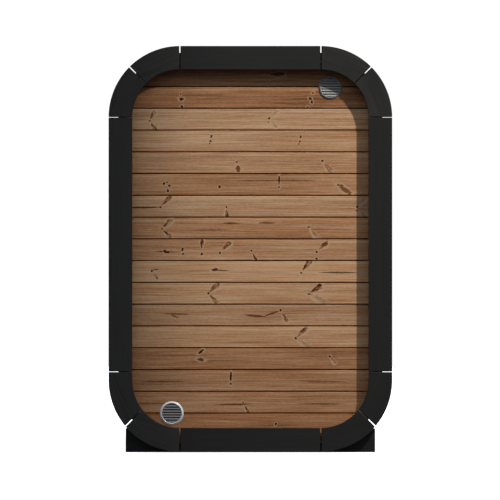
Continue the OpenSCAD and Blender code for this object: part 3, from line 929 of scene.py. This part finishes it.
def build_floor_pieces():
    (_, half), (low_y, high_y), (_, top) = spans("floor_bearers")
    boards = Boards(210)
    for i in range(BEARERS):
        y = low_y + (high_y - BEARER_W - low_y) * i / (BEARERS - 1)
        cross_beam(boards, [(half, top), *shell_run(ROOM_R, half, 0)], y, y + BEARER_W, 0.002)
    boards.make("floor_bearer_beams", FLOOR_WOOD, "floor_boards", "floor_bearers")

    (low_x, high_x), (low_y, high_y), (low_z, top) = spans("floor_deck")
    width = (high_x - low_x + DECK_GAP) / DECK_BOARDS - DECK_GAP
    section = plain_profile(width, top - low_z, 0.003)
    boards = Boards(211)
    for i in range(DECK_BOARDS):
        edge = Vector((low_x + i * (width + DECK_GAP), 0, top))
        straight_board(boards, edge, BACK, RIGHT, UP, section, low_y, high_y,
                       boards.random_marks(low_y, high_y, width), boards.random_tone(), 0.002)
    boards.make("floor_deck_boards", FLOOR_WOOD, "floor_boards", "floor_deck")


# ---- door

POST_R, BAR_EASE, SCREW_IN = 0.008, 0.005, 0.018
# Turned steel of the door, as (along, radius) from its foot.
POST_FOOT = (0, 0.0125), (0.002, 0.0125), (0.003, 0.0115), (0.0032, POST_R)
SCREW_HEAD = (0, 0.0055), (0.0014, 0.0055), (0.0022, 0.0046), (0.0026, 0.003), (0.0016, 0.0024)


def build_door_frame():
    """Two jambs and a head with a rebate for the glass, joined at the corners by mitres."""
    (low_x, high_x), (back, front), (low_z, top) = spans("door_frame")
    glass_low_x, glass_back = span("door_glass", 0)[0], span("door_glass", 1)[0]
    face_w = glass_low_x - low_x - FRAME_PLAY
    rebate = glass_back - front - 0.001
    section = eased([(0, 0), (face_w, 0), (face_w, rebate), (face_w + STOP_W, rebate),
                     (face_w + STOP_W, back - front), (0, back - front)], 0.002)
    boards = Boards(220)
    for side in (-1, 1):
        straight_board(boards, Vector((side * high_x, front, 0)), UP, RIGHT * -side, BACK, section,
                       low_z, lambda v, w: top - v, tone=boards.random_tone() * 0.5)
    straight_board(boards, Vector((0, front, top)), RIGHT, UP * -1, BACK, section,
                   lambda v, w: low_x + v, lambda v, w: high_x - v, tone=boards.random_tone() * 0.5)
    boards.make("door_frame_boards", FRAME_WOOD, "frame_paint", "door_frame")

    low_z, top = span("door_threshold", 2)
    boards = Boards(221)
    straight_board(boards, Vector((0, WALL_FACE, low_z)), RIGHT, UP, BACK,
                   plain_profile(top - low_z, WALL_FACE - WALL_BACK, 0.003), low_x, high_x,
                   tone=boards.random_tone(), ease=0.002)
    boards.make("door_sill", WALL_WOOD, "wall_boards", "door_threshold")


def turned(mesh, foot, axis, profile, steps=40):
    """Turns an open profile of (along, radius) about an axis from a foot."""
    side = axis.orthogonal().normalized()
    mesh.add(round_rings(foot, (side, axis.cross(side), axis), profile, steps))


def build_handle():
    """A turned wooden bar on each side of the glass, on shared steel stand-offs."""
    (low_x, high_x), (back, front), (low_z, top) = spans("door_handle")
    glass_back, glass_front = span("door_glass", 1)
    r, x = (high_x - low_x) / 2, (low_x + high_x) / 2
    start = [(along, radius) for radius, along in quarter(r, BAR_EASE, -BAR_EASE, -BAR_EASE, 5)]
    bar = start[::-1] + [(top - low_z - along, radius) for along, radius in start]
    bars, posts = Boards(230), Tubes()
    for y, glass, out in ((front - r, glass_front, BACK), (back + r, glass_back, -BACK)):
        bars.add(round_rings(Vector((x, y, low_z)), (RIGHT, BACK, UP), bar, 40), (UP, RIGHT, BACK))
        for z in (low_z + HANDLE_POST_IN, top - HANDLE_POST_IN):
            turned(posts, Vector((x, glass, z)), out, [*POST_FOOT, (abs(y - glass) - 0.8 * r, POST_R)])
    bars.make("door_handle_bars", HANDLE_WOOD, "handle_wood", "door_handle")
    posts.make("door_handle_posts", HINGE_STEEL, "hinge_steel", "door_handle")


def plate(mesh, low, high, ease):
    """A flat metal plate between two corners, with eased edges."""
    (x0, y0, z0), (x1, y1, z1) = low, high
    outline = eased([(x0, z0), (x1, z0), (x1, z1), (x0, z1)], 2 * ease)
    mesh.add(layered(outline, ((y0, 0), (y1 - ease, 0), (y1 - 0.3 * ease, 0.3 * ease), (y1, ease))))


def build_hinges():
    """Two hinges: a leaf clamped on the glass, a leaf screwed to the frame, and a knuckle between."""
    (low_x, high_x), (glass_y, front), (low_z, top) = spans("door_hinges")
    frame_y = span("door_frame", 1)[1]
    knuckle_x, axis_y = low_x + HINGE_LEAF, front - KNUCKLE_R
    pin = [(0.0, KNUCKLE_R - 0.001), (0.001, KNUCKLE_R)]
    for cut in (HINGE_H / 3, HINGE_H * 2 / 3):
        pin += [(cut + up, KNUCKLE_R - by)
                for up, by in ((-0.0012, 0), (-0.0004, 0.001), (0.0004, 0.001), (0.0012, 0))]
    pin += [(HINGE_H - 0.001, KNUCKLE_R), (HINGE_H, KNUCKLE_R - 0.001)]
    hinges = Tubes()
    for z in (low_z, top - HINGE_H):
        for x0, x1, y in ((knuckle_x + 0.006, high_x, glass_y), (low_x, knuckle_x - 0.004, frame_y)):
            plate(hinges, (x0, y, z), (x1, y + PLATE_T, z + HINGE_H), 0.001)
        plate(hinges, (knuckle_x, glass_y, z + HINGE_H / 3),
              (knuckle_x + 2 * KNUCKLE_R, axis_y, z + HINGE_H * 2 / 3), 0.0008)
        turned(hinges, Vector((knuckle_x, axis_y, z)), UP, pin, 32)
        for x, y in ((high_x - 0.016, glass_y + PLATE_T), (low_x + 0.011, frame_y + PLATE_T)):
            for up in (SCREW_IN, HINGE_H - SCREW_IN):
                turned(hinges, Vector((x, y - 0.001, z + up)), BACK, SCREW_HEAD, 24)
    hinges.make("door_hinge_leaves", HINGE_STEEL, "hinge_steel", "door_hinges")


build_shell()
build_walls()
# The upper vent takes the darker copies of the steel, painted shade for the top trim's shadow on it.
vent_grille("upper_vent", SHADED_UPPER_VENT_STEEL, SHADED_UPPER_LOUVRES)
vent_grille("lower_vent", VENT_STEEL, LOUVRE_STEEL)
build_trim()
build_cradles()
build_floor_pieces()
build_door_frame()
build_handle()
build_hinges()


# The CAD nodes that stay, each with its finish.
# The upper vent's sleeve takes the darker steel too, painted shade for the top trim's shadow.
for node, material in (("roof_cover", ROOF_FELT), ("door_glass", DOOR_GLASS),
                       ("upper_vent_sleeve", SHADED_UPPER_VENT_STEEL), ("lower_vent_sleeve", VENT_STEEL)):
    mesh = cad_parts[node].data
    mesh.materials.clear()
    mesh.materials.append(material)


# ---- floor, light and camera

def build_floor():
    """A pale floor that glows to the camera, and throws little light back."""
    bpy.ops.mesh.primitive_circle_add(vertices=96, radius=14, fill_type="NGON")
    floor = bpy.context.object
    floor.name = "studio_floor"
    g = Graph(bpy.data.materials.new("studio_floor"))
    g.nodes.clear()
    glow = g.value("Emission", {"Color": (1, 1, 1, 1), "Strength": 0.82})
    pale = g.value("BsdfDiffuse", {"Color": (0.9, 0.9, 0.9, 1)})
    dim = g.value("BsdfDiffuse", {"Color": (0.06, 0.06, 0.06, 1)})
    seen = g.value("AddShader", {0: glow, 1: pale})
    clear = g.ray("Glossy") * 0.14 + g.ray("Camera")
    surface = g.value("MixShader", {0: clear, 1: dim, 2: seen})
    g.node("OutputMaterial", {0: surface})
    floor.data.materials.append(g.owner)


# How bright the sky is by height, from straight down (0) to straight up (1).
FRONT_SKY = ((0.00, 0.00), (0.50, 0.02), (0.60, 0.18), (0.70, 0.38), (0.82, 1.05), (1.00, 0.50))
BACK_SKY = ((0.00, 0.30), (0.49, 0.90), (0.56, 1.50), (1.00, 1.00))
# How bright the studio is in reflections: by height, and from the sides (0) to straight ahead (1).
GLOSS_SKY = ((0.00, 0.80), (0.45, 0.60), (0.52, 0.60), (0.66, 1.00))
GLOSS_SIDES = ((0.00, 0.60), (0.50, 0.58), (0.80, 0.56), (1.00, 0.55))
SKY_TINT = (0.90, 1.0, 1.14)


def build_world():
    """White to the camera, a sky that is brighter behind as a light, and a studio in reflections."""
    g = Graph(bpy.data.worlds.new("studio"))
    bpy.context.scene.world = g.owner
    g.nodes.clear()
    _, depth, height = g.split(g.value("TexCoord", {}, "Generated"))
    height = g.ranged(height, -1, 1)

    def greys(place, stops, tint=(1, 1, 1)):
        return g.ramp(place, [(stop, [grey * part for part in tint]) for stop, grey in stops])

    sky = g.mix(g.ranged(depth, -0.25, 0.25, smooth=True), greys(height, FRONT_SKY, SKY_TINT),
                greys(height, BACK_SKY, SKY_TINT))
    gloss = g.mix(1.0, greys(height, GLOSS_SKY), greys(abs(depth), GLOSS_SIDES), "MULTIPLY")
    light = g.value("Background", {"Color": g.mix(g.ray("Glossy"), sky, gloss)})
    white = g.value("Background", {"Color": (1, 1, 1, 1), "Strength": 1.05})
    surface = g.value("MixShader", {0: g.ray("Camera"), 1: light, 2: white})
    g.node("OutputWorld", {0: surface})


KEY_REACH, KEY_POWER, KEY_CONE, KEY_BLEND = 4.0, 3050, 90, 0.082
# The sauna stands in the edge of the cone, so that the light falls off towards the left.
KEY_AIM = Vector((4.75, -0.76, 5.27))


def build_lights():
    """One key light, high on the right in front."""
    data = bpy.data.lights.new("key_light", "SPOT")
    data.energy, data.shadow_soft_size, data.color = KEY_POWER, 0.16, (1.0, 0.985, 0.96)
    data.spot_size, data.spot_blend = math.radians(KEY_CONE), KEY_BLEND
    key = new_object("key_light", data)
    key.location = (cad_high.x - TRIM_W + KEY_REACH, -cad_high.y - KEY_REACH,
                    cad_high.z - TRIM_W + KEY_REACH * math.sqrt(2))
    key.rotation_euler = (KEY_AIM - key.location).to_track_quat("-Z", "Y").to_euler()


def build_camera():
    """A long lens that looks straight at the rear, as the photo does."""
    distance, frame_width, sensor = 20.0, 2.580, 36.0
    middle_x, height = -0.002, 1.0468
    data = bpy.data.cameras.new("camera")
    data.sensor_width, data.lens = sensor, sensor * distance / frame_width
    data.clip_end = 100
    camera = new_object("camera", data)
    camera.location = (middle_x, -cad_high.y - distance, height)
    camera.rotation_euler = (math.pi / 2, 0, 0)
    bpy.context.scene.camera = camera
    bpy.context.scene.view_settings.view_transform = "Standard"


build_floor()
build_world()
build_lights()
build_camera()
